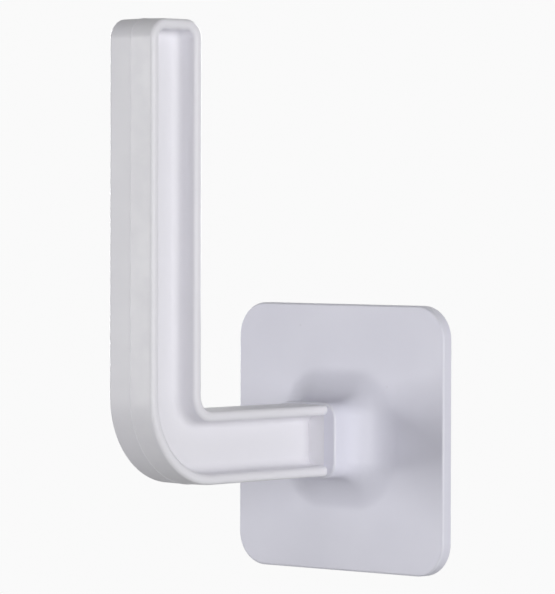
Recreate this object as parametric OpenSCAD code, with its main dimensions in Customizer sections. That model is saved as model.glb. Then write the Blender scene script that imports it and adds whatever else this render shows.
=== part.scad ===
// Adhesive wall hook: a stick-on base plate with a flared boss, and an L-shaped arm of I-section.
// Units are millimetres. The wall is the plane Y = 0, the hook stands out towards -Y, and +Z is up.
// The origin is the middle of the adhesive face.

/* [Base plate] */
// Width of the plate
plate_w = 60; // [50:1:90]
// Height of the plate
plate_h = 60; // [50:1:90]
// Thickness of the plate
plate_t = 3; // [2:0.1:4]
// Radius of the plate's corners
plate_corner_r = 7.5; // [3:0.5:12]
// Radius of the plate's front edge
plate_edge_r = 0.5; // [0.2:0.1:1.4]

/* [Boss] */
// How far the block's front face stands above the plate
boss_h = 11.7; // [11:0.1:20]
// How far the block stands out past each side of the arm
block_side_step = 2.2; // [1.2:0.1:4]
// How far the block stands out above and below the arm
block_top_step = 0.4; // [0.2:0.1:3]
// Radius of the block's upright corners
block_corner_r = 3.5; // [1.5:0.5:6]
// Radius of the block's front edge
block_edge_r = 0.5; // [0.2:0.1:1]
// Radius of the hollow flare between block and plate
flare_r = 8; // [4:0.5:9]

/* [Arm] */
// Width of the arm, from side to side
arm_w = 12.8; // [11:0.2:18]
// Depth of the arm's section
arm_d = 16; // [14:0.2:20]
// Distance from the wall to the front of the post
reach = 72.8; // [56:0.2:100]
// Height of the post, from the arm's underside to the tip
post_h = 100; // [50:1:140]
// Radius inside the bend
bend_r = 3.5; // [2:0.5:12]
// Thickness of the flange that runs round the arm
flange_t = 2.4; // [2:0.1:3]
// Thickness of the web between the flanges
web_t = 2; // [1.6:0.1:4]
// Radius of the flange's outer edges
lip_out_r = 0.9; // [0.2:0.1:0.9]
// Radius of the flange's inner edges, towards the recess
lip_in_r = 1; // [0.2:0.1:1]
// Radius of the hollow where the web meets the flange
web_fillet_r = 1.9; // [0.6:0.1:1.9]
// Radius of the corners at the post's tip
tip_corner_r = 4.4; // [4.4:0.1:6]

/* [Tenon and socket] */
// Step from the arm's outside to the tenon
tenon_step = 1; // [0.6:0.1:1.6]
// Clearance round the tenon in its socket
tenon_fit = 0.15; // [0.05:0.05:0.3]
// Clearance between the tenon's end and the socket's floor
tenon_end_gap = 0.2; // [0.1:0.05:0.5]
// Thickness of the socket's floor, which the screw pulls against
socket_floor_t = 2; // [1.2:0.1:3]

/* [Screw] */
// Diameter over the screw's thread
screw_d = 4; // [3:0.1:4.4]
// Length of the screw under its head
screw_l = 10; // [8:0.5:11]
// Diameter of the screw's core
screw_core_d = 2.8; // [2:0.1:2.9]
// Pitch of the screw's thread
screw_pitch = 1.4; // [0.8:0.1:1.6]
// Diameter of the screw's head
head_d = 7.6; // [6:0.2:9]
// Thickness of the screw's head
head_t = 1.9; // [1.4:0.1:2.4]
// Width across the whole cross recess
cross_l = 3.8; // [2.6:0.2:4.4]
// Width of one arm of the cross recess
cross_w = 0.8; // [0.5:0.1:1]
// Depth of the cross recess
cross_depth = 1.1; // [0.6:0.1:1.3]

/* [Adhesive tape] */
// Thickness of the foam tape
tape_t = 0.8; // [0.4:0.1:2]
// Step from the plate's edge to the tape's edge
tape_inset = 1.2; // [0.4:0.1:2.5]

/* [Hidden] */

// Facets of a drawn circle
$fn = 96;
// How far a cut runs past the face that it opens
overrun = 1;
// Gap between the screw's head and the tape
head_gap = 0.3;
// Gap round the screw's head in its recess
head_side_gap = 0.7;
// Gap round the screw in the socket's floor
hole_gap = 0.2;
// Gap round the thread in the tenon
thread_fit = 0.05;
// Gap past the screw's tip
tip_gap = 0.8;
// Radius of the head's rim
head_edge_r = 0.8;
// Share of the pitch that one thread's ridge takes
ridge_share = 0.6;

// Places along the way out from the wall
plate_front = tape_t + plate_t;
block_front = plate_front + boss_h;
screw_seat = tape_t + head_t + head_gap;
socket_floor = screw_seat + socket_floor_t;
tenon_end = socket_floor + tenon_end_gap;
pilot_end = screw_seat + screw_l + tip_gap;

// Block, tenon and socket, from the arm's section
block_w = arm_w + 2 * block_side_step;
block_h = arm_d + 2 * block_top_step;
tenon_w = arm_w - 2 * tenon_step;
tenon_h = arm_d - 2 * tenon_step;
socket_w = tenon_w + 2 * tenon_fit;
socket_h = tenon_h + 2 * tenon_fit;

// The bend and the post
bend_mid_r = bend_r + arm_d / 2;
bend_out = reach - arm_d - bend_r;
bend_up = arm_d / 2 + bend_r;
post_tip = post_h - arm_d / 2;
tip_straight = post_tip - tip_corner_r;
// The hollow beside the web stays inside the tip's corner
web_hollow_r = min(web_fillet_r, tip_corner_r - flange_t);

// Turns a shape drawn with z as the way out from the wall into the part's frame
module on_wall() {
    rotate([90, 0, 0])
        children();
}

// Turns about an axis from side to side, from angle start on, where 0 is up and 90 is out from the wall
module sweep_bend(up, out, start) {
    translate([0, up, out])
        rotate([90, 0, 90])
            rotate([0, 0, start])
                rotate_extrude(angle = 90)
                    rotate(-90)
                        children();
}

// Carries an edge section round a rectangle of size w by h with corner radius c and thickness t.
// The section starts at x = 0, at the corner's centre, and looks outwards along x.
module sweep_rectangle(w, h, c, t) {
    translate([c - w / 2, c - h / 2, 0])
        cube([w - 2 * c, h - 2 * c, t]);
    for (i = [0 : 3]) {
        along = i % 2 == 0 ? w : h;
        across = i % 2 == 0 ? h : w;
        rotate([0, 0, 90 * i])
            translate([along / 2 - c, across / 2 - c, 0]) {
                rotate_extrude(angle = 90)
                    children();
                rotate([90, 0, 0])
                    linear_extrude(height = across - 2 * c)
                        children();
            }
    }
}

// A bar of width l and height t with a round corner of radius r at its far upper end
module round_edge(l, t, r) {
    square([l - r, t]);
    square([l, t - r]);
    translate([l - r, t - r])
        circle(r = r);
}

// The hollow corner of radius r between the x and y axes
module hollow_corner(r) {
    difference() {
        square(r);
        translate([r, r])
            circle(r = r);
    }
}

// Half of the I-section: the web from y = 0 up, and the round-edged flange whose outer face is at y = depth
module flange_half(depth) {
    inner = depth - flange_t;
    translate([-web_t / 2, 0])
        square([web_t, inner + lip_in_r]);
    translate([lip_in_r - arm_w / 2, inner])
        square([arm_w - 2 * lip_in_r, lip_in_r]);
    translate([-arm_w / 2, inner + lip_in_r])
        square([arm_w, flange_t - lip_in_r - lip_out_r]);
    translate([lip_out_r - arm_w / 2, depth - lip_out_r])
        square([arm_w - 2 * lip_out_r, lip_out_r]);
    for (side = [-1, 1]) {
        translate([side * (arm_w / 2 - lip_in_r), inner + lip_in_r])
            circle(r = lip_in_r);
        translate([side * (arm_w / 2 - lip_out_r), depth - lip_out_r])
            circle(r = lip_out_r);
        scale([side, 1])
            translate([web_t / 2, inner])
                mirror([0, 1])
                    hollow_corner(web_hollow_r);
    }
}

// The whole I-section
module arm_section() {
    flange_half(arm_d / 2);
    mirror([0, 1])
        flange_half(arm_d / 2);
}

// Square plate with a flared boss, whose block has a socket for the tenon and a recess for the screw
module base_plate() {
    color("#e4e3ec")
    on_wall()
    difference() {
        union() {
            translate([0, 0, tape_t])
                sweep_rectangle(plate_w, plate_h, plate_corner_r, plate_t)
                    round_edge(plate_corner_r, plate_t, plate_edge_r);
            translate([0, 0, plate_front])
                sweep_rectangle(block_w, block_h, block_corner_r, boss_h) {
                    round_edge(block_corner_r, boss_h, block_edge_r);
                    translate([block_corner_r, 0])
                        hollow_corner(flare_r);
                }
        }
        translate([-socket_w / 2, -socket_h / 2, socket_floor])
            cube([socket_w, socket_h, block_front - socket_floor + overrun]);
        translate([0, 0, tape_t - overrun])
            cylinder(d = head_d + 2 * head_side_gap, h = screw_seat - tape_t + overrun);
        translate([0, 0, screw_seat - overrun])
            cylinder(d = screw_d + 2 * hole_gap, h = socket_floor_t + 2 * overrun);
    }
}

// L-shaped arm of I-section with a flange round its tip, and the tenon that goes into the block
module hook_arm() {
    color("#e6e5ee")
    on_wall()
    difference() {
        union() {
            translate([0, 0, block_front])
                linear_extrude(height = bend_out - block_front)
                    arm_section();
            sweep_bend(bend_up, bend_out, 90)
                translate([0, bend_mid_r])
                    arm_section();
            translate([0, tip_straight, reach - arm_d / 2])
                rotate([90, 0, 0])
                    linear_extrude(height = tip_straight - bend_up)
                        arm_section();
            sweep_bend(tip_straight, reach - tip_corner_r, 0)
                flange_half(tip_corner_r);
            sweep_bend(tip_straight, reach - arm_d + tip_corner_r, 270)
                flange_half(tip_corner_r);
            translate([0, tip_straight, reach - arm_d + tip_corner_r])
                linear_extrude(height = arm_d - 2 * tip_corner_r)
                    flange_half(tip_corner_r);
            translate([-tenon_w / 2, -tenon_h / 2, tenon_end])
                cube([tenon_w, tenon_h, block_front - tenon_end]);
        }
        translate([0, 0, tenon_end - overrun])
            cylinder(d = screw_d + 2 * thread_fit, h = pilot_end - tenon_end + overrun);
    }
}

// Self-tapping screw with a pan head and a cross recess, its thread drawn as ridges
module fixing_screw() {
    core_r = screw_core_d / 2;
    ridge_l = screw_pitch * ridge_share;
    ridges = floor((screw_l - core_r) / screw_pitch);
    color("#b9bcc2")
    on_wall() {
        difference() {
            translate([0, 0, screw_seat])
                mirror([0, 0, 1])
                    rotate_extrude()
                        round_edge(head_d / 2, head_t, head_edge_r);
            for (turn = [0, 90])
                rotate([0, 0, turn])
                    translate([-cross_l / 2, -cross_w / 2, screw_seat - head_t - overrun])
                        cube([cross_l, cross_w, cross_depth + overrun]);
        }
        translate([0, 0, screw_seat])
            rotate_extrude()
                polygon(concat(
                    [[0, 0]],
                    [for (i = [0 : ridges - 1]) each [
                        [core_r, i * screw_pitch],
                        [screw_d / 2, i * screw_pitch + ridge_l / 2],
                        [core_r, i * screw_pitch + ridge_l]
                    ]],
                    [[core_r, screw_l - core_r], [0, screw_l]]
                ));
    }
}

// Double-sided foam tape on the back of the plate
module adhesive_tape() {
    tape_corner_r = plate_corner_r - tape_inset;
    color("#f2f1ee")
    on_wall()
        sweep_rectangle(plate_w - 2 * tape_inset, plate_h - 2 * tape_inset, tape_corner_r, tape_t)
            square([tape_corner_r, tape_t]);
}

base_plate();
hook_arm();
fixing_screw();
adhesive_tape();
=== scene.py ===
"""Adhesive wall hook: the looks of its four pieces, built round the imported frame.

Lengths are metres in the part's own frame. The wall is the plane Y = 0, the hook
stands out towards -Y, and +Z is up. Sizes in millimetres are written times MM.
"""

import logging
import math
from dataclasses import dataclass, field
from enum import Enum
from typing import Any, ClassVar, Optional, Sequence, Union

import bmesh
import bpy
from mathutils import Matrix, Vector


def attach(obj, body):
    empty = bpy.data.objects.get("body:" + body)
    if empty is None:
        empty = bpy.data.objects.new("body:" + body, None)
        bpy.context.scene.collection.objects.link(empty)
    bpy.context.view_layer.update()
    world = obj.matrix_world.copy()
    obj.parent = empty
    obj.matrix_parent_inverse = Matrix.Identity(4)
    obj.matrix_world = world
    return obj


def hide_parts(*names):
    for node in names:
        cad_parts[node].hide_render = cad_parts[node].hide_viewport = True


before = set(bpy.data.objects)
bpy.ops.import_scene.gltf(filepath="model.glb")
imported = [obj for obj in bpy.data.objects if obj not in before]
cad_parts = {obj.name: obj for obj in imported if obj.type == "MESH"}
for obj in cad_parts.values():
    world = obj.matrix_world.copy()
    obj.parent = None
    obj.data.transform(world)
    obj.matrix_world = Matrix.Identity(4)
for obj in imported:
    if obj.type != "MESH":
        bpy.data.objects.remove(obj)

log = logging.getLogger("wall_hook")

MM = 0.001
# Points of node trees and of lofts that are nearer than this are one point.
RULE_MEETS = 2e-6
LOFT_MEETS = 1e-7
# Places of the colour sockets of a Mix node.
MIX_SHARE, MIX_LOW, MIX_HIGH, MIX_RESULT = 0, 6, 7, 2

Colour = tuple[float, float, float]
Socket = bpy.types.NodeSocket
Tree = bpy.types.NodeTree
Node = bpy.types.Node
Material = bpy.types.Material
Piece = bpy.types.Object
Feed = Union[Socket, float, int, bool, str, Sequence[float], list[Socket]]
Feeds = Optional[dict[Union[str, int], Feed]]


class Slot(Enum):
    """The record's material slots."""

    BASE = "base_plastic"
    ARM = "arm_plastic"
    SCREW = "screw_steel"
    TAPE = "tape_foam"


class Mark(Enum):
    """Attributes that the meshes carry for their materials."""

    EDGE = "edge"


class TreeKind(Enum):
    """Kinds of node group."""

    GEOMETRY = "GeometryNodeTree"
    SHADER = "ShaderNodeTree"


class SocketKind(Enum):
    """Kinds of socket that the node groups have."""

    FLOAT = "NodeSocketFloat"
    VECTOR = "NodeSocketVector"
    GEOMETRY = "NodeSocketGeometry"
    MATERIAL = "NodeSocketMaterial"


def floats(*names: str) -> dict[str, SocketKind]:
    """Lists number sockets by their names."""
    return {name: SocketKind.FLOAT for name in names}


class Graph:
    """A node tree that is being built, with short calls for adding and joining its nodes."""

    def __init__(self, tree: Tree) -> None:
        """Wraps a tree.

        Args:
            tree: The tree that the nodes go into.
        """
        self.tree = tree
        self.source: Optional[Node] = None
        self.sink: Optional[Node] = None

    @classmethod
    def group(
        cls,
        name: str,
        kind: TreeKind,
        inputs: dict[str, SocketKind],
        outputs: dict[str, SocketKind],
    ) -> "Graph":
        """Makes a node group with named sockets.

        Args:
            name: Name of the group.
            kind: Its kind.
            inputs: Input sockets by name.
            outputs: Output sockets by name.

        Returns:
            The group, ready for its nodes.
        """
        made = cls(bpy.data.node_groups.new(name, kind.value))
        for way, sockets in (("INPUT", inputs), ("OUTPUT", outputs)):
            for title, sort in sockets.items():
                made.tree.interface.new_socket(name=title, in_out=way, socket_type=sort.value)
        made.source = made.tree.nodes.new("NodeGroupInput")
        made.sink = made.tree.nodes.new("NodeGroupOutput")
        return made

    @classmethod
    def rule(cls, name: str, sizes: Sequence[str]) -> "Graph":
        """Makes a geometry tree that works on a piece from named sizes and a material.

        Args:
            name: Name of the tree.
            sizes: Names of the sizes.

        Returns:
            The tree, ready for its nodes.
        """
        shape = {"Geometry": SocketKind.GEOMETRY}
        inputs = {**shape, **floats(*sizes), "Material": SocketKind.MATERIAL}
        return cls.group(name, TreeKind.GEOMETRY, inputs, shape)

    def __getitem__(self, title: str) -> Socket:
        """Gives the group's own input of that name."""
        return self.source.outputs[title]

    def put(self, title: str, value: Feed) -> None:
        """Feeds the group's own output of that name."""
        self.feed(self.sink.inputs[title], value)

    def feed(self, socket: Socket, value: Feed) -> None:
        """Joins a socket to one or more outputs, or sets its constant.

        Args:
            socket: The input that is fed.
            value: An output socket, a list of them, or a constant.
        """
        if isinstance(value, list):
            for one in value:
                self.feed(socket, one)
        elif isinstance(value, Socket):
            self.tree.links.new(value, socket)
        else:
            socket.default_value = value

    def node(self, kind: str, feeds: Feeds = None, **settings: Any) -> Node:
        """Adds a node.

        Args:
            kind: Blender's name of the node.
            feeds: What its inputs get, by name or place.
            **settings: Properties of the node.

        Returns:
            The new node.
        """
        made = self.tree.nodes.new(kind)
        for title, value in settings.items():
            setattr(made, title, value)
        for title, value in (feeds or {}).items():
            self.feed(made.inputs[title], value)
        return made

    def out(self, kind: str, feeds: Feeds = None, **settings: Any) -> Socket:
        """Adds a node as node() does, and gives its first output."""
        return self.node(kind, feeds, **settings).outputs[0]

    def math(self, sum_kind: str, *terms: Feed) -> Socket:
        """Works out one sum, such as ADD or MULTIPLY, and gives its result."""
        return self.out("ShaderNodeMath", dict(enumerate(terms)), operation=sum_kind)

    def half(self, value: Feed) -> Socket:
        """Halves a value."""
        return self.math("MULTIPLY", value, 0.5)

    def minus(self, value: Feed) -> Socket:
        """Turns a value's sign round."""
        return self.math("MULTIPLY", value, -1.0)

    def vector(self, x: Feed = 0.0, y: Feed = 0.0, z: Feed = 0.0) -> Socket:
        """Joins three numbers into a vector."""
        return self.out("ShaderNodeCombineXYZ", {0: x, 1: y, 2: z})

    def spread(
        self, value: Feed, low: Feed, high: Feed, to_low: Feed = 0.0, to_high: Feed = 1.0
    ) -> Socket:
        """Maps the range from low to high onto that from to_low to to_high, held at its ends."""
        return self.out("ShaderNodeMapRange", {0: value, 1: low, 2: high, 3: to_low, 4: to_high})

    def mixed(self, share: Feed, low: Feed, high: Feed) -> Socket:
        """Mixes two colours by a share, which is how much of the second one there is."""
        feeds = {MIX_SHARE: share, MIX_LOW: low, MIX_HIGH: high}
        return self.node("ShaderNodeMix", feeds, data_type="RGBA").outputs[MIX_RESULT]

    def by_place(self, values: Sequence[Feed], data_type: str) -> Socket:
        """Gives each point the value that stands at its own place in a list.

        Args:
            values: The values, in the order of the points.
            data_type: FLOAT or VECTOR.

        Returns:
            The value as a field.
        """
        switch = self.node("GeometryNodeIndexSwitch", data_type=data_type)
        while len(switch.index_switch_items) < len(values):
            switch.index_switch_items.new()
        self.feed(switch.inputs[0], self.out("GeometryNodeInputIndex"))
        for place, value in enumerate(values):
            self.feed(switch.inputs[place + 1], value)
        return switch.outputs[0]

    def round_line(self, points: Sequence[Feed], radii: Sequence[Feed], steps: int) -> Socket:
        """Draws a line through points and rounds its corners.

        Args:
            points: Corner points, as vectors.
            radii: Radius at each corner, zero where it stays sharp.
            steps: Points on each round corner.

        Returns:
            The line as a curve.
        """
        line = self.out("GeometryNodeMeshLine", {"Count": len(points)})
        places = self.by_place(points, "VECTOR")
        line = self.out("GeometryNodeSetPosition", {"Geometry": line, "Position": places})
        curve = self.out("GeometryNodeMeshToCurve", {"Mesh": line})
        feeds = {"Curve": curve, "Count": steps, "Radius": self.by_place(radii, "FLOAT")}
        return self.out("GeometryNodeFilletCurve", feeds, mode="POLY")

    def moved(
        self,
        geometry: Feed,
        place: Feed = (0.0, 0.0, 0.0),
        turn: Sequence[float] = (0.0, 0.0, 0.0),
    ) -> Socket:
        """Turns a geometry and then moves it.

        Args:
            geometry: What is moved.
            place: How far it moves.
            turn: Angles about X, Y and Z, in degrees.

        Returns:
            The moved geometry.
        """
        angles = tuple(math.radians(angle) for angle in turn)
        feeds = {"Geometry": geometry, "Translation": place, "Rotation": angles}
        return self.out("GeometryNodeTransform", feeds)

    def turned_over(self, mesh: Feed) -> Socket:
        """Turns a mesh's faces the other way out."""
        return self.out("GeometryNodeFlipFaces", {0: mesh})

    def merged(self, *parts: Feed) -> Socket:
        """Puts several meshes together and makes one of the points that meet."""
        mesh = self.out("GeometryNodeJoinGeometry", {0: list(parts)})
        return self.out("GeometryNodeMergeByDistance", {0: mesh, "Distance": RULE_MEETS})

    def united(self, *solids: Feed) -> Socket:
        """Makes one solid of several."""
        feeds = {1: list(solids)}
        return self.out("GeometryNodeMeshBoolean", feeds, operation="UNION", solver="EXACT")

    def cut(self, solid: Feed, *tools: Feed) -> Socket:
        """Cuts the tools, which are solids too, out of a solid."""
        feeds = {0: solid, 1: list(tools)}
        return self.out("GeometryNodeMeshBoolean", feeds, operation="DIFFERENCE", solver="EXACT")

    def end_rule(self, geometry: Feed) -> Tree:
        """Ends a rule: makes instances real and sets the material.

        Args:
            geometry: What the rule has made.

        Returns:
            The whole tree.
        """
        real = self.out("GeometryNodeRealizeInstances", {"Geometry": geometry})
        feeds = {"Geometry": real, "Material": self["Material"]}
        self.put("Geometry", self.out("GeometryNodeSetMaterial", feeds))
        return self.tree


def plain_piece(name: str, mesh: bpy.types.Mesh) -> Piece:
    """Puts a mesh into the scene as an object at the origin.

    Args:
        name: Name of the object.
        mesh: Its mesh.

    Returns:
        The new object.
    """
    piece = bpy.data.objects.new(name, mesh)
    bpy.context.scene.collection.objects.link(piece)
    return piece


def settle(piece: Piece) -> None:
    """Turns what a piece's modifiers give into its plain mesh, and removes the modifiers.

    Args:
        piece: The object whose modifiers are settled.
    """
    graph = bpy.context.evaluated_depsgraph_get()
    mesh = bpy.data.meshes.new_from_object(
        piece.evaluated_get(graph), preserve_all_data_layers=True, depsgraph=graph
    )
    old = piece.data
    piece.modifiers.clear()
    mesh.name = piece.name
    piece.data = mesh
    bpy.data.meshes.remove(old)


def grow(piece: Piece, tree: Tree, values: dict[str, Any]) -> None:
    """Runs a geometry tree on a piece and keeps the result as its mesh.

    Args:
        piece: The object that the tree works on.
        tree: The geometry tree.
        values: The tree's inputs by name.
    """
    modifier = piece.modifiers.new(tree.name, "NODES")
    modifier.node_group = tree
    for item in tree.interface.items_tree:
        if item.item_type == "SOCKET" and item.in_out == "INPUT" and item.name in values:
            modifier[item.identifier] = values[item.name]
    settle(piece)


def sizes_of(owner: Any, names: Sequence[str]) -> dict[str, Any]:
    """Looks up an owner's sizes by a rule's names, such as "Tip corner" for tip_corner."""
    return {name: getattr(owner, name.lower().replace(" ", "_")) for name in names}


def even_shading(piece: Piece, sharp_from: float = 32.0) -> None:
    """Shades round faces smooth, keeps flat faces flat and marks sharp edges.

    Args:
        piece: The object whose mesh is shaded.
        sharp_from: Angle in degrees from which an edge is sharp.
    """
    limit = math.radians(sharp_from)
    bm = bmesh.new()
    bm.from_mesh(piece.data)
    for face in bm.faces:
        face.smooth = True
    for edge in bm.edges:
        edge.smooth = edge.calc_face_angle(math.pi) < limit
    bm.to_mesh(piece.data)
    bm.free()
    weighted = piece.modifiers.new("weighted", "WEIGHTED_NORMAL")
    weighted.keep_sharp = True
    weighted.weight = 100
    settle(piece)


def quarter_turn(steps: int) -> list[tuple[float, float]]:
    """Lists the sine and cosine of even steps from 0 to 90 degrees."""
    angles = [math.radians(90 * step / steps) for step in range(steps + 1)]
    return [(math.sin(angle), math.cos(angle)) for angle in angles]


@dataclass(frozen=True)
class Ring:
    """One closed section of a loft: a rectangle with round corners that faces the wall."""

    width: float
    height: float
    radius: float
    out: float
    edge: float = 0.0

    @classmethod
    def disc(cls, diameter: float, out: float, edge: float = 0.0) -> "Ring":
        """Gives a round section."""
        return cls(diameter, diameter, diameter / 2, out, edge)

    def grown(self, by: float, out: float, edge: float = 0.0) -> "Ring":
        """Gives a section that is larger by the same distance all round, at another level."""
        return Ring(self.width + 2 * by, self.height + 2 * by, self.radius + by, out, edge)

    def points(self, arc_steps: int, side_steps: int) -> list[Vector]:
        """Places the ring's points, anticlockwise as seen from the front.

        Args:
            arc_steps: Steps round each corner.
            side_steps: Steps along each straight side.

        Returns:
            The points, the same number for every ring.
        """
        radius = min(self.radius, self.width / 2, self.height / 2)
        corners: list[list[Vector]] = []
        for quarter, (right, high) in enumerate(((1, 1), (-1, 1), (-1, -1), (1, -1))):
            across = right * (self.width / 2 - radius)
            up = high * (self.height / 2 - radius)
            arc = []
            for step in range(arc_steps + 1):
                angle = math.radians(90 * (quarter + step / arc_steps))
                x, z = across + radius * math.cos(angle), up + radius * math.sin(angle)
                arc.append(Vector((x, -self.out, z)))
            corners.append(arc)
        full: list[Vector] = []
        for arc, following in zip(corners, corners[1:] + corners[:1]):
            full += arc
            start, end = arc[-1], following[0]
            full += [start.lerp(end, step / side_steps) for step in range(1, side_steps)]
        return full


def loft(
    name: str, rings: Sequence[Ring], arc_steps: int, side_steps: int, joins_up: bool
) -> Piece:
    """Skins a row of rings.

    Args:
        name: Name of the piece.
        rings: The sections in order.
        arc_steps: Steps round each corner.
        side_steps: Steps along each straight side.
        joins_up: Whether the last ring joins the first; otherwise both ends are closed.

    Returns:
        The piece.
    """
    bm = bmesh.new()
    mark = bm.verts.layers.float.new(Mark.EDGE.value)
    rows = []
    for ring in rings:
        row = [bm.verts.new(point) for point in ring.points(arc_steps, side_steps)]
        for vert in row:
            vert[mark] = ring.edge
        rows.append(row)
    pairs = list(zip(rows, rows[1:])) + ([(rows[-1], rows[0])] if joins_up else [])
    count = len(rows[0])
    for low, high in pairs:
        for i in range(count):
            j = (i + 1) % count
            bm.faces.new((low[i], low[j], high[j], high[i]))
    if not joins_up:
        bm.faces.new(rows[0])
        bm.faces.new(rows[-1])
    bmesh.ops.remove_doubles(bm, verts=bm.verts, dist=LOFT_MEETS)
    bmesh.ops.recalc_face_normals(bm, faces=bm.faces)
    mesh = bpy.data.meshes.new(name)
    bm.to_mesh(mesh)
    bm.free()
    return plain_piece(name, mesh)


def skin_grain() -> Tree:
    """Builds the group for the grain of a moulded skin.

    Returns:
        A group with a fine height, a broad cloudiness and sparse specks.
    """
    g = Graph.group(
        "skin_grain",
        TreeKind.SHADER,
        floats("Fine scale", "Broad scale", "Speck share"),
        floats("Height", "Cloud", "Speck"),
    )
    pit_share, specks_per_cloud = 0.45, 9.0
    place = g.node("ShaderNodeTexCoord").outputs["Object"]
    fine_feeds = {"Vector": place, "Scale": g["Fine scale"]}
    fine = g.out("ShaderNodeTexNoise", {**fine_feeds, "Detail": 3.0, "Roughness": 0.6})
    pits = g.out("ShaderNodeTexVoronoi", fine_feeds, feature="SMOOTH_F1")
    g.put("Height", g.math("ADD", fine, g.math("MULTIPLY", pits, pit_share)))
    broad_feeds = {"Vector": place, "Scale": g["Broad scale"]}
    cloud = g.out("ShaderNodeTexNoise", {**broad_feeds, "Detail": 4.0, "Roughness": 0.55})
    g.put("Cloud", g.spread(cloud, 0.3, 0.7))
    speck_scale = g.math("MULTIPLY", g["Broad scale"], specks_per_cloud)
    spots = g.node("ShaderNodeTexVoronoi", {"Vector": place, "Scale": speck_scale})
    chance = g.out("ShaderNodeSeparateColor", {0: spots.outputs["Color"]})
    rare = g.math("LESS_THAN", chance, g["Speck share"])
    dot = g.spread(spots.outputs["Distance"], 0.06, 0.16, 1.0, 0.0)
    g.put("Speck", g.math("MULTIPLY", rare, dot))
    return g.tree


def edge_wear_and_highlight() -> Tree:
    """Builds the group for lighter edges: partly rubbed wear, partly a painted highlight along
    them.

    Returns:
        A group with one mask, broken up along the edges.
    """
    inputs = floats("Break scale", "Amount")
    g = Graph.group("edge_wear_and_highlight", TreeKind.SHADER, inputs, floats("Mask"))
    place = g.node("ShaderNodeTexCoord").outputs["Object"]
    edge = g.node("ShaderNodeAttribute", attribute_name=Mark.EDGE.value).outputs["Fac"]
    patch_feeds = {"Vector": place, "Scale": g["Break scale"], "Detail": 5.0}
    patch = g.out("ShaderNodeTexNoise", patch_feeds)
    worn_and_highlit = g.math("MULTIPLY", g.spread(edge, 0.35, 1.0), g.spread(patch, 0.35, 0.65, 0.25, 1.0))
    g.put("Mask", g.math("MULTIPLY", worn_and_highlit, g["Amount"]))
    return g.tree


def hair_scuffs() -> Tree:
    """Builds the group for hair-fine scuffs that lie along one direction.

    Returns:
        A group with one mask of thin streaks in scattered patches.
    """
    inputs = {"Stretch": SocketKind.VECTOR, **floats("Share")}
    g = Graph.group("hair_scuffs", TreeKind.SHADER, inputs, floats("Mask"))
    hair_width, patch_scale = 0.018, 45.0
    place = g.node("ShaderNodeTexCoord").outputs["Object"]
    drawn = g.out("ShaderNodeVectorMath", {0: place, 1: g["Stretch"]}, operation="MULTIPLY")
    hair_feeds = {"Vector": drawn, "Scale": 1.0, "Detail": 2.0, "Roughness": 0.5}
    hair = g.out("ShaderNodeTexNoise", hair_feeds)
    off_middle = g.math("ABSOLUTE", g.math("SUBTRACT", hair, 0.5))
    thin = g.spread(off_middle, 0.0, hair_width, 1.0, 0.0)
    patch = g.out("ShaderNodeTexNoise", {"Vector": place, "Scale": patch_scale, "Detail": 2.0})
    area = g.spread(patch, g.math("SUBTRACT", 1.0, g["Share"]), 1.0)
    g.put("Mask", g.math("MULTIPLY", thin, area))
    return g.tree


class FinishGroups:
    """The shared node groups of the finishes, built once."""

    def __init__(self) -> None:
        """Builds the groups."""
        self.grain = skin_grain()
        self.wear_and_highlight = edge_wear_and_highlight()
        self.scuffs = hair_scuffs()


def bare_material(name: str) -> tuple[Material, Graph, Node]:
    """Makes a material that has only its Principled shader.

    Args:
        name: Name of the material.

    Returns:
        The material, its graph and its shader.
    """
    made = bpy.data.materials.new(name)
    made.use_nodes = True
    return made, Graph(made.node_tree), made.node_tree.nodes["Principled BSDF"]


def opaque(tint: Colour) -> tuple[float, float, float, float]:
    """Gives a tint with full alpha."""
    return (*tint, 1.0)


class Finish:
    """What every finish has: a grain, and a relief that the light catches."""

    name: str
    grain_scale: float
    cloud_scale: float
    speck_share: float
    bump: float
    bump_depth: float

    def _grain(self, g: Graph, groups: FinishGroups) -> bpy.types.NodeOutputs:
        """Puts the grain into a material.

        Args:
            g: The material's graph.
            groups: The shared node groups.

        Returns:
            The grain's outputs.
        """
        feeds = {
            "Fine scale": self.grain_scale,
            "Broad scale": self.cloud_scale,
            "Speck share": self.speck_share,
        }
        return g.node("ShaderNodeGroup", feeds, node_tree=groups.grain).outputs

    def _relief(self, g: Graph, shader: Node, height: Feed) -> None:
        """Bumps the shader's surface by a height."""
        feeds = {"Strength": self.bump, "Distance": self.bump_depth, "Height": height}
        g.feed(shader.inputs["Normal"], g.out("ShaderNodeBump", feeds))


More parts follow.
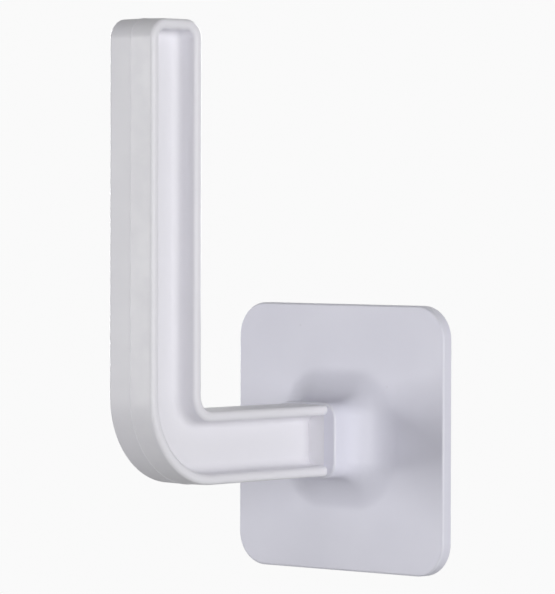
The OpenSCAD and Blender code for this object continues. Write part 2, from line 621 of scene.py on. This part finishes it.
@dataclass(frozen=True)
class PlasticFinish(Finish):
    """Satin moulded plastic with a fine spark-eroded grain."""

    name: str
    tint: Colour
    deep_tint: Colour
    # Edge tint: partly rubbed wear, partly a painted highlight along the lips.
    wear_and_highlight_tint: Colour
    speck_tint: Colour = (0.36, 0.35, 0.36)
    roughness: float = 0.42
    rough_swing: float = 0.035
    grain_scale: float = 2600.0
    cloud_scale: float = 48.0
    cloud_depth: float = 0.55
    speck_share: float = 0.012
    speck_depth: float = 0.10
    wear_and_highlight_scale: float = 420.0
    wear_and_highlight_amount: float = 0.5
    rub_gloss: float = 0.10
    scuff_stretch: tuple[float, float, float] = (2600.0, 900.0, 90.0)
    scuff_share: float = 0.5
    scuff_gloss: float = 0.06
    scuff_cut: float = 0.5
    bump: float = 0.12
    bump_depth: float = 0.04 * MM
    ior: float = 1.46

    def material(self, groups: FinishGroups) -> Material:
        """Builds the material.

        Args:
            groups: The shared node groups.

        Returns:
            The material.
        """
        made, g, shader = bare_material(self.name)
        grain = self._grain(g, groups)
        wear_and_highlight_feeds = {"Break scale": self.wear_and_highlight_scale, "Amount": self.wear_and_highlight_amount}
        wear_and_highlight = g.out("ShaderNodeGroup", wear_and_highlight_feeds, node_tree=groups.wear_and_highlight)
        scuff_feeds = {"Stretch": self.scuff_stretch, "Share": self.scuff_share}
        scuffs = g.out("ShaderNodeGroup", scuff_feeds, node_tree=groups.scuffs)

        clouds = g.math("MULTIPLY", grain["Cloud"], self.cloud_depth)
        specks = g.math("MULTIPLY", grain["Speck"], self.speck_depth)
        colour = g.mixed(clouds, opaque(self.tint), opaque(self.deep_tint))
        colour = g.mixed(specks, colour, opaque(self.speck_tint))
        # Painted highlight and wear: the mask lightens the edges, partly as rubbed wear and partly
        # standing in for the highlight along the lips.
        colour = g.mixed(wear_and_highlight, colour, opaque(self.wear_and_highlight_tint))
        g.feed(shader.inputs["Base Color"], colour)

        smoothest, roughest = self.roughness - self.rough_swing, self.roughness + self.rough_swing
        rough = g.spread(grain["Cloud"], 0.0, 1.0, smoothest, roughest)
        rough = g.math("SUBTRACT", rough, g.math("MULTIPLY", wear_and_highlight, self.rub_gloss))
        rough = g.math("SUBTRACT", rough, g.math("MULTIPLY", scuffs, self.scuff_gloss))
        g.feed(shader.inputs["Roughness"], rough)

        height = g.math("SUBTRACT", grain["Height"], g.math("MULTIPLY", scuffs, self.scuff_cut))
        self._relief(g, shader, height)
        shader.inputs["IOR"].default_value = self.ior
        return made


@dataclass(frozen=True)
class SteelFinish(Finish):
    """Zinc-plated steel with a fine grain, and edges lightened partly as wear and partly as a
    painted highlight.
    """

    name: str = "zinc_plated_steel"
    tint: Colour = (0.62, 0.63, 0.66)
    deep_tint: Colour = (0.47, 0.48, 0.52)
    wear_and_highlight_tint: Colour = (0.78, 0.78, 0.80)
    grain_scale: float = 5200.0
    cloud_scale: float = 420.0
    speck_share: float = 0.05
    wear_and_highlight_scale: float = 1500.0
    wear_and_highlight_amount: float = 0.7
    smoothest: float = 0.24
    roughest: float = 0.40
    bump: float = 0.15
    bump_depth: float = 0.04 * MM

    def material(self, groups: FinishGroups) -> Material:
        """Builds the material.

        Args:
            groups: The shared node groups.

        Returns:
            The material.
        """
        made, g, shader = bare_material(self.name)
        grain = self._grain(g, groups)
        wear_and_highlight_feeds = {"Break scale": self.wear_and_highlight_scale, "Amount": self.wear_and_highlight_amount}
        wear_and_highlight = g.out("ShaderNodeGroup", wear_and_highlight_feeds, node_tree=groups.wear_and_highlight)
        colour = g.mixed(grain["Cloud"], opaque(self.tint), opaque(self.deep_tint))
        # Lightened edges: partly wear, partly a painted highlight on the head's rim.
        colour = g.mixed(wear_and_highlight, colour, opaque(self.wear_and_highlight_tint))
        g.feed(shader.inputs["Base Color"], colour)
        rough = g.spread(grain["Cloud"], 0.0, 1.0, self.smoothest, self.roughest)
        g.feed(shader.inputs["Roughness"], rough)
        self._relief(g, shader, grain["Height"])
        shader.inputs["Metallic"].default_value = 1.0
        return made


@dataclass(frozen=True)
class FoamFinish(Finish):
    """Closed-cell foam tape: cells at its cut edge, a thin film of adhesive on its faces."""

    name: str = "foam_tape"
    tint: Colour = (0.83, 0.83, 0.815)
    cell_shade_tint: Colour = (0.62, 0.62, 0.60)
    film_tint: Colour = (0.805, 0.805, 0.79)
    grain_scale: float = 3800.0
    cloud_scale: float = 90.0
    speck_share: float = 0.04
    cell_scale: float = 5200.0
    cell_shade: float = 0.7
    cell_depth: float = 2.5
    smoothest: float = 0.30
    roughest: float = 0.46
    cut_roughness: float = 0.42
    bump: float = 0.3
    bump_depth: float = 0.05 * MM

    def material(self, groups: FinishGroups) -> Material:
        """Builds the material.

        Args:
            groups: The shared node groups.

        Returns:
            The material.
        """
        made, g, shader = bare_material(self.name)
        place = g.node("ShaderNodeTexCoord").outputs["Object"]
        grain = self._grain(g, groups)
        cut = g.node("ShaderNodeAttribute", attribute_name=Mark.EDGE.value).outputs["Fac"]
        cells = g.out("ShaderNodeTexVoronoi", {"Vector": place, "Scale": self.cell_scale})
        # Painted shade: the cells' hollows on the cut edge are darkened, as well as sunk by the
        # bump.
        hollow = g.math("MULTIPLY", g.spread(cells, 0.15, 0.5, 1.0, 0.0), cut)
        colour = g.mixed(grain["Cloud"], opaque(self.tint), opaque(self.film_tint))
        shaded = g.math("MULTIPLY", hollow, self.cell_shade)
        colour = g.mixed(shaded, colour, opaque(self.cell_shade_tint))
        g.feed(shader.inputs["Base Color"], colour)
        film = g.spread(grain["Cloud"], 0.0, 1.0, self.smoothest, self.roughest)
        rough = g.math("ADD", film, g.math("MULTIPLY", cut, self.cut_roughness))
        g.feed(shader.inputs["Roughness"], rough)
        height = g.math("SUBTRACT", grain["Height"], g.math("MULTIPLY", hollow, self.cell_depth))
        self._relief(g, shader, height)
        return made


@dataclass
class BasePlate:
    """The square plate with its flared boss, which is hollow for the arm's tenon."""

    width: float = 60 * MM
    height: float = 60 * MM
    back: float = 0.8 * MM
    front: float = 3.8 * MM
    corner: float = 7.5 * MM
    edge: float = 0.5 * MM
    back_edge: float = 0.25 * MM
    block_width: float = 17.2 * MM
    block_height: float = 16.8 * MM
    block_front: float = 15.5 * MM
    block_corner: float = 3.5 * MM
    block_edge: float = 0.5 * MM
    flare: float = 8 * MM
    socket_width: float = 11.1 * MM
    socket_height: float = 14.3 * MM
    socket_corner: float = 0.25 * MM
    socket_floor: float = 5.0 * MM
    mouth_pinch: float = 0.13 * MM
    mouth_depth: float = 0.8 * MM
    screw_seat: float = 3.0 * MM
    screw_hole: float = 4.4 * MM
    head_recess: float = 9.0 * MM
    edge_steps: int = 6
    flare_steps: int = 24
    corner_steps: int = 16
    finish: PlasticFinish = field(
        default_factory=lambda: PlasticFinish(
            name="base_satin_plastic",
            # Painted shade and reflection: the plate's tint is darker and bluer than the arm's,
            # partly the plastic's own colour and partly standing in for the hook's shade and a
            # reflected blue cast.
            tint=(0.808, 0.805, 0.900),
            deep_tint=(0.790, 0.787, 0.884),
            wear_and_highlight_tint=(0.85, 0.85, 0.91),
            scuff_stretch=(420.0, 900.0, 2600.0),
        )
    )

    def _rounding(self, side: Ring, radius: float) -> list[Ring]:
        """Lists the rings of a rounded front edge, from the face to the side.

        Args:
            side: The section at the side, set at the level of the face.
            radius: Radius of the edge.

        Returns:
            The rings.
        """
        rings = []
        for step, (sine, cosine) in enumerate(quarter_turn(self.edge_steps)):
            inset, drop = radius * (1 - sine), radius * (1 - cosine)
            edge = 1.0 if 0 < step < self.edge_steps else 0.0
            rings.append(side.grown(-inset, side.out - drop, edge))
        return rings

    def build(self) -> Piece:
        """Builds the plate and its boss as one closed skin.

        Returns:
            The piece.
        """
        socket = (self.socket_width, self.socket_height, self.socket_corner)
        pinch, soft = self.mouth_pinch, self.back_edge
        mouth = (self.socket_width - 2 * pinch, self.socket_height - 2 * pinch, pinch)
        block = Ring(self.block_width, self.block_height, self.block_corner, self.block_front)
        plate = Ring(self.width, self.height, self.corner, self.front)
        flare = [
            block.grown(self.flare * (1 - cosine), self.front + self.flare * (1 - sine))
            for sine, cosine in quarter_turn(self.flare_steps)
        ]
        rings = [
            Ring(*mouth, self.block_front),
            *self._rounding(block, self.block_edge),
            *flare,
            *self._rounding(plate, self.edge),
            plate.grown(0.0, self.back + soft),
            plate.grown(-soft, self.back),
            Ring.disc(self.head_recess, self.back),
            Ring.disc(self.head_recess, self.screw_seat),
            Ring.disc(self.screw_hole, self.screw_seat),
            Ring.disc(self.screw_hole, self.socket_floor),
            Ring(*socket, self.socket_floor),
            Ring(*socket, self.block_front - self.mouth_depth),
        ]
        piece = loft("base_moulding", rings, self.corner_steps, 1, joins_up=True)
        even_shading(piece)
        return piece

    def dress(self, piece: Piece, groups: FinishGroups) -> None:
        """Gives the piece its finish and its place among the nodes."""
        coat(piece, self.finish.material(groups))
        enter(piece, "base_plate")


@dataclass
class HookArm:
    """The L-shaped arm of I-section, with the flange round its tip and the tenon at its root."""

    SHAPE: ClassVar[tuple[str, ...]] = ("Root", "Reach", "Tip", "Depth", "Bend", "Tip corner")
    FLANGE: ClassVar[tuple[str, ...]] = (
        "Width", "Flange", "Web", "Web fillet", "Floor band",
        "Lip out", "Lip in", "Draft", "Seam width", "Seam height",
    )
    TENON: ClassVar[tuple[str, ...]] = (
        "Tenon width", "Tenon height", "Tenon end", "Pilot", "Pilot end"
    )

    width: float = 12.8 * MM
    depth: float = 16 * MM
    reach: float = 72.8 * MM
    tip: float = 92 * MM
    root: float = 15.5 * MM
    bend: float = 3.5 * MM
    flange: float = 2.4 * MM
    web: float = 2 * MM
    web_fillet: float = 1.9 * MM
    floor_band: float = 0.05 * MM
    tip_corner: float = 4.4 * MM
    lip_out: float = 0.9 * MM
    lip_in: float = 1.0 * MM
    draft: float = 0.09 * MM
    seam_width: float = 0.4 * MM
    seam_height: float = 0.08 * MM
    seam_crown: float = 0.2
    tenon_width: float = 10.8 * MM
    tenon_height: float = 14 * MM
    tenon_end: float = 5.2 * MM
    pilot: float = 4.1 * MM
    pilot_end: float = 13.8 * MM
    pilot_sides: int = 40
    drill_over: float = 1 * MM
    bend_steps: int = 22
    lip_steps: int = 9
    finish: PlasticFinish = field(
        default_factory=lambda: PlasticFinish(
            name="arm_satin_plastic",
            tint=(0.852, 0.844, 0.889),
            deep_tint=(0.837, 0.829, 0.875),
            wear_and_highlight_tint=(0.89, 0.885, 0.915),
        )
    )

    def _outline(self) -> Tree:
        """Builds the group that draws the L's outline.

        Returns:
            A group that gives the outline from the root's underside round to its top.
        """
        curve = {"Curve": SocketKind.GEOMETRY}
        g = Graph.group("hook_outline", TreeKind.GEOMETRY, floats(*self.SHAPE), curve)
        high = g.half(g["Depth"])
        low = g.minus(high)
        rear = g.math("SUBTRACT", g["Reach"], g["Depth"])
        outer = g.math("ADD", g["Bend"], g["Depth"])
        corner = g["Tip corner"]
        points = [
            g.vector(g["Root"], low),
            g.vector(g["Reach"], low),
            g.vector(g["Reach"], g["Tip"]),
            g.vector(rear, g["Tip"]),
            g.vector(rear, high),
            g.vector(g["Root"], high),
        ]
        radii = [0.0, outer, corner, corner, g["Bend"], 0.0]
        g.put("Curve", g.round_line(points, radii, self.bend_steps))
        return g.tree

    def _section(self) -> Tree:
        """Builds the group that draws the flange's section, from one web face to the other.

        Returns:
            A group that gives the section, with its outer face near x = 0 and the web at
            negative x.
        """
        curve = {"Curve": SocketKind.GEOMETRY}
        g = Graph.group("flange_section", TreeKind.GEOMETRY, floats(*self.FLANGE), curve)
        side, cheek, foot = (g.half(g[name]) for name in ("Width", "Web", "Seam width"))
        crown = g.math("MULTIPLY", g["Seam width"], self.seam_crown)
        inner = g.minus(g["Flange"])
        floor = g.math("SUBTRACT", g.math("SUBTRACT", inner, g["Web fillet"]), g["Floor band"])
        half = [
            (floor, cheek, 0.0),
            (inner, cheek, g["Web fillet"]),
            (inner, side, g["Lip in"]),
            (g.minus(g["Draft"]), side, g["Lip out"]),
            (0.0, foot, 0.0),
            (g["Seam height"], crown, 0.0),
        ]
        points = [g.vector(x, y) for x, y, _ in half]
        points += [g.vector(x, g.minus(y)) for x, y, _ in reversed(half)]
        radii = [radius for _, _, radius in half + half[::-1]]
        line = g.round_line(points, radii, self.lip_steps)
        place = g.out("GeometryNodeInputPosition")
        across = g.math("ABSOLUTE", g.node("ShaderNodeSeparateXYZ", {0: place}).outputs["Y"])
        edge = g.spread(across, g.math("SUBTRACT", side, g["Lip out"]), side)
        kept = g.node(
            "GeometryNodeStoreNamedAttribute",
            {"Geometry": line, "Name": Mark.EDGE.value},
            data_type="FLOAT",
            domain="POINT",
        )
        g.feed(next(s for s in kept.inputs if s.name == "Value" and s.enabled), edge)
        g.put("Curve", kept.outputs[0])
        return g.tree

    def _web_floors(self, g: Graph, skin: Feed, rim: Feed) -> list[Socket]:
        """Fills the web's two faces inside the border of the flange's skin.

        Args:
            g: The arm's rule.
            skin: The flange's skin, open along the web.
            rim: Which edges are open.

        Returns:
            The two faces, each looking outwards.
        """
        just_past = 1e-6
        ends = g.node("GeometryNodeInputMeshEdgeVertices").outputs
        first, second = (
            g.node("ShaderNodeSeparateXYZ", {0: ends[name]}).outputs
            for name in ("Position 1", "Position 2")
        )
        furthest = g.math("MAXIMUM", first["X"], second["X"])
        past_root = g.math("GREATER_THAN", furthest, g.math("ADD", g["Root"], just_past))
        border = g.math("MULTIPLY", rim, past_root)
        cheek = g.half(g["Web"])
        floors = []
        for test, level in (("GREATER_THAN", cheek), ("LESS_THAN", g.minus(cheek))):
            this_side = g.math("MULTIPLY", border, g.math(test, first["Z"], 0.0))
            edge = g.out("GeometryNodeMeshToCurve", {"Mesh": skin, "Selection": this_side})
            ring = g.out("GeometryNodeSetSplineCyclic", {"Geometry": edge, "Cyclic": True})
            floor = g.out("GeometryNodeFillCurve", {"Curve": ring}, mode="NGONS")
            floors.append(g.moved(floor, g.vector(z=level)))
        return [floors[0], g.turned_over(floors[1])]

    def _body(self, g: Graph) -> Socket:
        """Carries the flange round the L, fills its web and closes its root.

        Args:
            g: The arm's rule.

        Returns:
            The body, lying in the plane of its outline.
        """
        under_two_faces = 1.5
        outline = g.out(
            "GeometryNodeGroup", {name: g[name] for name in self.SHAPE}, node_tree=self._outline()
        )
        section = g.out(
            "GeometryNodeGroup", {name: g[name] for name in self.FLANGE}, node_tree=self._section()
        )
        skin_feeds = {"Curve": outline, "Profile Curve": section}
        skin = g.turned_over(g.out("GeometryNodeCurveToMesh", skin_feeds))
        faces = g.out("GeometryNodeInputMeshEdgeNeighbors")
        rim = g.math("LESS_THAN", faces, under_two_faces)
        open_body = g.merged(skin, *self._web_floors(g, skin, rim))
        loop = g.out("GeometryNodeMeshToCurve", {"Mesh": open_body, "Selection": rim})
        laid = g.moved(loop, turn=(0, 90, 0))
        cap = g.out("GeometryNodeFillCurve", {"Curve": laid}, mode="NGONS")
        return g.merged(open_body, g.moved(cap, g.vector(g["Root"]), (0, -90, 0)))

    def _tree(self) -> Tree:
        """Builds the tree that makes the arm's body, adds its tenon and drills it.

        Returns:
            The geometry tree.
        """
        g = Graph.rule("hook_arm_rule", self.SHAPE + self.FLANGE + self.TENON)
        body = self._body(g)
        length = g.math("SUBTRACT", g["Root"], g["Tenon end"])
        size = g.vector(length, g["Tenon height"], g["Tenon width"])
        middle = g.half(g.math("ADD", g["Root"], g["Tenon end"]))
        tenon = g.moved(g.out("GeometryNodeMeshCube", {"Size": size}), g.vector(middle))
        deep = g.math("SUBTRACT", g["Pilot end"], g["Tenon end"])
        drill_feeds = {
            "Vertices": self.pilot_sides,
            "Radius": g.half(g["Pilot"]),
            "Depth": g.math("ADD", deep, self.drill_over),
        }
        drill = g.out("GeometryNodeMeshCylinder", drill_feeds)
        ends = g.math("ADD", g["Pilot end"], g["Tenon end"])
        middle = g.half(g.math("SUBTRACT", ends, self.drill_over))
        drill = g.moved(drill, g.vector(middle), (0, 90, 0))
        arm = g.cut(g.united(body, tenon), drill)
        return g.end_rule(g.moved(arm, turn=(90, 0, -90)))

    def build(self, material: Material) -> Piece:
        """Builds the arm from its rule.

        Args:
            material: The arm's material.

        Returns:
            The piece.
        """
        piece = plain_piece("arm_moulding", bpy.data.meshes.new("arm_seed"))
        sizes = sizes_of(self, self.SHAPE + self.FLANGE + self.TENON)
        grow(piece, self._tree(), {**sizes, "Material": material})
        even_shading(piece)
        return piece

    def dress(self, piece: Piece) -> None:
        """Gives the piece its place among the nodes."""
        enter(piece, "hook_arm")


@dataclass
class FixingScrew:
    """The pan-head screw that holds the tenon in the block, put in from behind."""

    SIZES: ClassVar[tuple[str, ...]] = (
        "Seat", "Length", "Thread", "Core", "Pitch", "Ridge", "Run in",
        "Head top", "Cross", "Cross width", "Cross depth",
    )

    seat: float = 3.0 * MM
    length: float = 10 * MM
    thread: float = 4 * MM
    core: float = 2.8 * MM
    pitch: float = 1.4 * MM
    ridge: float = 0.9 * MM
    ridge_sunk: float = 0.1 * MM
    run_in: float = 0.7 * MM
    tip: float = 0.1 * MM
    head: float = 7.6 * MM
    head_thick: float = 1.9 * MM
    head_edge: float = 0.8 * MM
    head_middle: float = 0.02 * MM
    crown: float = 0.15 * MM
    cross: float = 3.8 * MM
    cross_width: float = 0.8 * MM
    cross_depth: float = 1.1 * MM
    cross_over: float = 0.5 * MM
    edge_steps: int = 8
    corner_steps: int = 12
    turn_steps: int = 40
    finish: SteelFinish = field(default_factory=SteelFinish)

    @property
    def head_top(self) -> float:
        """The level of the head's top."""
        return self.seat - self.head_thick

    def _turned(self) -> Piece:
        """Turns the head, the core and the tip.

        Returns:
            The piece without its thread and its cross recess.
        """
        top = self.head_top
        shoulder = top + self.crown
        flat = self.head / 2 - self.head_edge
        outline = [
            (self.head_middle, top, 0.0),
            (0.5 * flat, top + 0.25 * self.crown, 0.0),
            (flat, shoulder, 0.0),
        ]
        for sine, cosine in quarter_turn(self.edge_steps)[1:-1]:
            drop = (self.head_edge - self.crown) * (1 - cosine)
            outline.append((flat + self.head_edge * sine, shoulder + drop, 1.0))
        outline += [
            (self.head / 2, top + self.head_edge, 0.0),
            (self.head / 2, self.seat, 0.0),
            (self.core / 2, self.seat, 0.0),
            (self.core / 2, self.seat + self.length - self.core / 2, 0.0),
            (self.tip, self.seat + self.length, 0.0),
        ]
        rings = [Ring.disc(2 * radius, out, edge) for radius, out, edge in outline]
        return loft("screw_turned", rings, self.corner_steps, 1, joins_up=False)

    def _cross_bars(self, g: Graph) -> list[Socket]:
        """Makes the two bars that cut the cross recess.

        Args:
            g: The screw's rule.

        Returns:
            The bars.
        """
        depth = g.math("ADD", g["Cross depth"], self.cross_over)
        below = g.half(g.math("SUBTRACT", g["Cross depth"], self.cross_over))
        place = g.vector(y=g.minus(g.math("ADD", g["Head top"], below)))
        sizes = (
            g.vector(g["Cross"], depth, g["Cross width"]),
            g.vector(g["Cross width"], depth, g["Cross"]),
        )
        return [g.moved(g.out("GeometryNodeMeshCube", {"Size": size}), place) for size in sizes]

    def _helix(self, g: Graph) -> Socket:
        """Winds the thread, which swells and fades at its ends.

        Args:
            g: The screw's rule.

        Returns:
            The thread in its place round the core.
        """
        faint, swollen, fading = 0.05, 0.12, 0.85
        radius = g.half(g["Core"])
        straight = g.math("SUBTRACT", g["Length"], radius)
        rise = g.math("SUBTRACT", straight, g.math("MULTIPLY", g["Run in"], 2.0))
        helix_feeds = {
            "Resolution": self.turn_steps,
            "Rotations": g.math("DIVIDE", rise, g["Pitch"]),
            "Start Radius": radius,
            "End Radius": radius,
            "Height": rise,
        }
        helix = g.out("GeometryNodeCurveSpiral", helix_feeds)
        upright = g.out("GeometryNodeSetCurveNormal", {"Curve": helix}, mode="Z_UP")
        crest = g.half(g.math("SUBTRACT", g["Core"], g["Thread"]))
        flank = g.half(g["Ridge"])
        corners = [
            g.vector(self.ridge_sunk, flank),
            g.vector(crest),
            g.vector(self.ridge_sunk, g.minus(flank)),
        ]
        tooth = g.round_line(corners, [0.0] * len(corners), 1)
        tooth = g.out("GeometryNodeSetSplineCyclic", {"Geometry": tooth, "Cyclic": True})
        along = g.out("GeometryNodeSplineParameter")
        swell = g.spread(along, 0.0, swollen, faint, 1.0)
        swell = g.math("MULTIPLY", swell, g.spread(along, fading, 1.0, 1.0, faint))
        feeds = {"Curve": upright, "Profile Curve": tooth, "Scale": swell, "Fill Caps": True}
        wound = g.out("GeometryNodeCurveToMesh", feeds)
        start = g.math("ADD", g["Seat"], g["Run in"])
        return g.moved(wound, g.vector(y=g.minus(start)), (90, 0, 0))

    def _tree(self) -> Tree:
        """Builds the tree that cuts the cross recess and adds the thread.

        Returns:
            The geometry tree.
        """
        g = Graph.rule("screw_rule", self.SIZES)
        crossed = g.cut(g["Geometry"], *self._cross_bars(g))
        return g.end_rule(g.united(crossed, self._helix(g)))

    def build(self, material: Material) -> Piece:
        """Builds the screw.

        Args:
            material: The screw's material.

        Returns:
            The piece.
        """
        piece = self._turned()
        grow(piece, self._tree(), {**sizes_of(self, self.SIZES), "Material": material})
        even_shading(piece)
        return piece

    def dress(self, piece: Piece) -> None:
        """Gives the piece its place among the nodes."""
        enter(piece, "fixing_screw")


@dataclass
class AdhesiveTape:
    """The double-sided foam tape on the plate's back."""

    width: float = 57.6 * MM
    height: float = 57.6 * MM
    corner: float = 6.3 * MM
    thick: float = 0.8 * MM
    squeeze: float = 0.12 * MM
    edge_steps: int = 6
    corner_steps: int = 12
    side_steps: int = 40
    sharp_from: float = 40.0
    finish: FoamFinish = field(default_factory=FoamFinish)

    def build(self) -> Piece:
        """Builds the tape, whose cut edge is drawn in a little between its faces.

        Returns:
            The piece.
        """
        face = Ring(self.width, self.height, self.corner, 0.0)
        rings = []
        for step in range(self.edge_steps + 1):
            share = step / self.edge_steps
            inset = self.squeeze * (1 - (2 * share - 1) ** 2)
            edge = 1.0 if 0 < step < self.edge_steps else 0.0
            rings.append(face.grown(-inset, self.thick * (1 - share), edge))
        piece = loft("tape_foam", rings, self.corner_steps, self.side_steps, joins_up=False)
        even_shading(piece, self.sharp_from)
        return piece

    def dress(self, piece: Piece, groups: FinishGroups) -> None:
        """Gives the piece its finish and its place among the nodes."""
        coat(piece, self.finish.material(groups))
        enter(piece, "adhesive_tape")


def towards(azimuth: float, elevation: float) -> Vector:
    """Gives the direction away from the hook at two angles in degrees."""
    a, e = math.radians(azimuth), math.radians(elevation)
    return Vector((math.sin(a) * math.cos(e), -math.cos(a) * math.cos(e), math.sin(e)))


@dataclass(frozen=True)
class Softbox:
    """One soft lamp that looks at the hook. Its azimuth is measured as the camera's is."""

    name: str
    azimuth: float
    elevation: float
    size: tuple[float, float]
    power: float
    far: float = 1.0

    def hang(self, aim: Vector) -> None:
        """Hangs the lamp.

        Args:
            aim: The point that it looks at.
        """
        back = towards(self.azimuth, self.elevation)
        data = bpy.data.lights.new(self.name, "AREA")
        data.shape = "RECTANGLE"
        data.size, data.size_y = self.size
        data.energy = self.power
        box = bpy.data.objects.new(self.name, data)
        box.location = aim + back * self.far
        box.rotation_mode = "QUATERNION"
        box.rotation_quaternion = back.to_track_quat("Z", "Y")
        bpy.context.scene.collection.objects.link(box)


@dataclass
class Studio:
    """Soft light, a pale floor and the camera."""

    azimuth: float = 41.0
    elevation: float = 1.394
    roll: float = 0.14
    distance: float = 0.9076
    lens: float = 251.08
    sensor_height: float = 36.0
    clip: tuple[float, float] = (0.05, 50.0)
    aim: tuple[float, float, float] = (0.0, -0.0358, 0.031)
    aim_right: float = 7.03 * MM
    aim_up: float = 1.17 * MM
    floor_level: float = -0.24
    floor_radius: float = 1.3
    floor_sides: int = 96
    floor_tint: Colour = (0.52, 0.52, 0.52)
    floor_glow: float = 0.6
    fade_from: float = 0.45
    fade_to: float = 0.97
    background: float = 0.955
    ambient: float = 0.03
    lamps: tuple[Softbox, ...] = (
        Softbox("left_box", -39.0, 0.0, (0.1, 0.36), 2.75),
        Softbox("key_box", 55.0, 4.0, (0.45, 0.4), 4.25),
        Softbox("side_box", 99.0, 0.0, (0.4, 0.4), 2.9),
        Softbox("top_box", 18.0, 44.0, (0.7, 0.3), 0.5),
        Softbox("left_fill", -112.0, 8.0, (0.4, 0.5), 4.4),
        Softbox("back_fill", 192.0, 10.0, (0.5, 0.5), 4.6),
    )

    def camera(self) -> None:
        """Places the camera at the photograph's viewing angle."""
        a, r = math.radians(self.azimuth), math.radians(self.roll)
        back = towards(self.azimuth, self.elevation)
        right = Vector((math.cos(a), math.sin(a), 0.0))
        up = back.cross(right)
        target = Vector(self.aim) + right * self.aim_right + up * self.aim_up
        right, up = (
            right * math.cos(r) + up * math.sin(r),
            up * math.cos(r) - right * math.sin(r),
        )
        data = bpy.data.cameras.new("camera")
        data.sensor_fit = "VERTICAL"
        data.sensor_height = self.sensor_height
        data.lens = self.lens
        data.clip_start, data.clip_end = self.clip
        eye = bpy.data.objects.new("camera", data)
        bpy.context.scene.collection.objects.link(eye)
        turn = Matrix((right, up, back)).transposed().to_4x4()
        eye.matrix_world = Matrix.Translation(target + back * self.distance) @ turn
        bpy.context.scene.camera = eye

    def world(self) -> None:
        """Sets the sky: an even pale light, white where it is seen."""
        sky = bpy.data.worlds.new("studio")
        bpy.context.scene.world = sky
        sky.use_nodes = True
        g = Graph(sky.node_tree)
        shade = sky.node_tree.nodes["Background"]
        path = g.node("ShaderNodeLightPath").outputs
        seen = g.math("MAXIMUM", path["Is Camera Ray"], path["Is Glossy Ray"])
        seen = g.math("MAXIMUM", seen, path["Is Transmission Ray"])
        g.feed(shade.inputs["Color"], (1.0, 1.0, 1.0, 1.0))
        strength = g.spread(seen, 0.0, 1.0, self.ambient, self.background)
        g.feed(shade.inputs["Strength"], strength)

    def _floor_material(self) -> Material:
        """Builds the floor's material, which thins out towards the rim and is clear from below.

        Returns:
            The material.
        """
        made, g, unused_shader = bare_material("pale_floor")
        nodes = made.node_tree.nodes
        nodes.remove(unused_shader)
        spot = g.node("ShaderNodeTexCoord").outputs["Object"]
        far = g.node("ShaderNodeVectorMath", {0: spot}, operation="LENGTH").outputs["Value"]
        fade_from, fade_to = self.fade_from * self.floor_radius, self.fade_to * self.floor_radius
        below = g.node("ShaderNodeNewGeometry").outputs["Backfacing"]
        gone = g.math("MAXIMUM", g.spread(far, fade_from, fade_to), below)
        matt = g.out("ShaderNodeBsdfDiffuse", {"Color": opaque(self.floor_tint)})
        glow_feeds = {"Color": (1.0, 1.0, 1.0, 1.0), "Strength": self.background}
        glow = g.out("ShaderNodeEmission", glow_feeds)
        camera_ray = g.node("ShaderNodeLightPath").outputs["Is Camera Ray"]
        seen = g.math("MULTIPLY", camera_ray, self.floor_glow)
        lit = g.out("ShaderNodeMixShader", {0: seen, 1: matt, 2: glow})
        clear = g.out("ShaderNodeBsdfTransparent")
        surface = g.out("ShaderNodeMixShader", {0: gone, 1: lit, 2: clear})
        g.feed(nodes["Material Output"].inputs["Surface"], surface)
        return made

    def floor(self) -> None:
        """Lays the pale floor below the hook."""
        bm = bmesh.new()
        bmesh.ops.create_circle(
            bm, cap_ends=True, segments=self.floor_sides, radius=self.floor_radius
        )
        mesh = bpy.data.meshes.new("floor")
        bm.to_mesh(mesh)
        bm.free()
        ground = plain_piece("floor", mesh)
        ground.location.z = self.floor_level
        ground.data.materials.append(self._floor_material())

    def build(self) -> None:
        """Sets up the camera, the light and the floor."""
        bpy.context.scene.view_settings.view_transform = "Standard"
        self.camera()
        self.world()
        for lamp in self.lamps:
            lamp.hang(Vector(self.aim))
        self.floor()


def coat(piece: Piece, material: Material) -> None:
    """Makes a material the piece's only one."""
    piece.data.materials.clear()
    piece.data.materials.append(material)


def enter(piece: Piece, node: str) -> None:
    """Makes a piece stand for a node and ride on the hook's one body.

    Args:
        piece: The piece.
        node: The node that it stands for.
    """
    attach(piece, "root")
    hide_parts(node)
    log.info("%s: %d faces, stands for %s", piece.name, len(piece.data.polygons), node)


def main() -> None:
    """Builds the hook's pieces and the studio."""
    logging.basicConfig(level=logging.INFO, format="%(name)s: %(message)s")
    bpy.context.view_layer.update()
    groups = FinishGroups()
    base = BasePlate()
    base.dress(base.build(), groups)
    arm = HookArm()
    arm.dress(arm.build(arm.finish.material(groups)))
    screw = FixingScrew()
    screw.dress(screw.build(screw.finish.material(groups)))
    tape = AdhesiveTape()
    tape.dress(tape.build(), groups)
    Studio().build()


if __name__ == "__main__":
    main()
